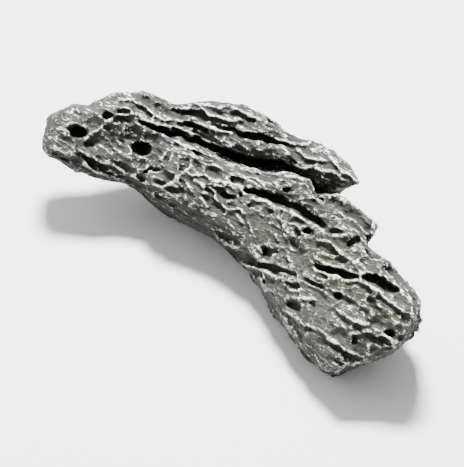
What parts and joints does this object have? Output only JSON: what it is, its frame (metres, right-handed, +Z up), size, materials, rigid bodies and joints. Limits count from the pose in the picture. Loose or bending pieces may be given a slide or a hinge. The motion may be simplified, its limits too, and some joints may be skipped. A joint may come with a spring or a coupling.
{
  "type": "seiryu stone",
  "caption": "Weathered grey seiryu stone for a planted aquarium: an elongated layered limestone piece with sharp crests, long slots and deep pits, lying on its underside.",
  "frame": {"origin": "middle of the bounding box's underside, on the plane that the stone rests on", "axes": "+X along the grain from the narrow end to the broad end, -Y toward the main face, +Z up"},
  "size_m": [0.2222, 0.1076, 0.0581],
  "materials": {
    "stone": "dry, matt, dark grey limestone with pale crests and near-black pits"
  },
  "bodies": {
    "root": {"seiryu_stone": "stone"}
  },
  "joints": []
}
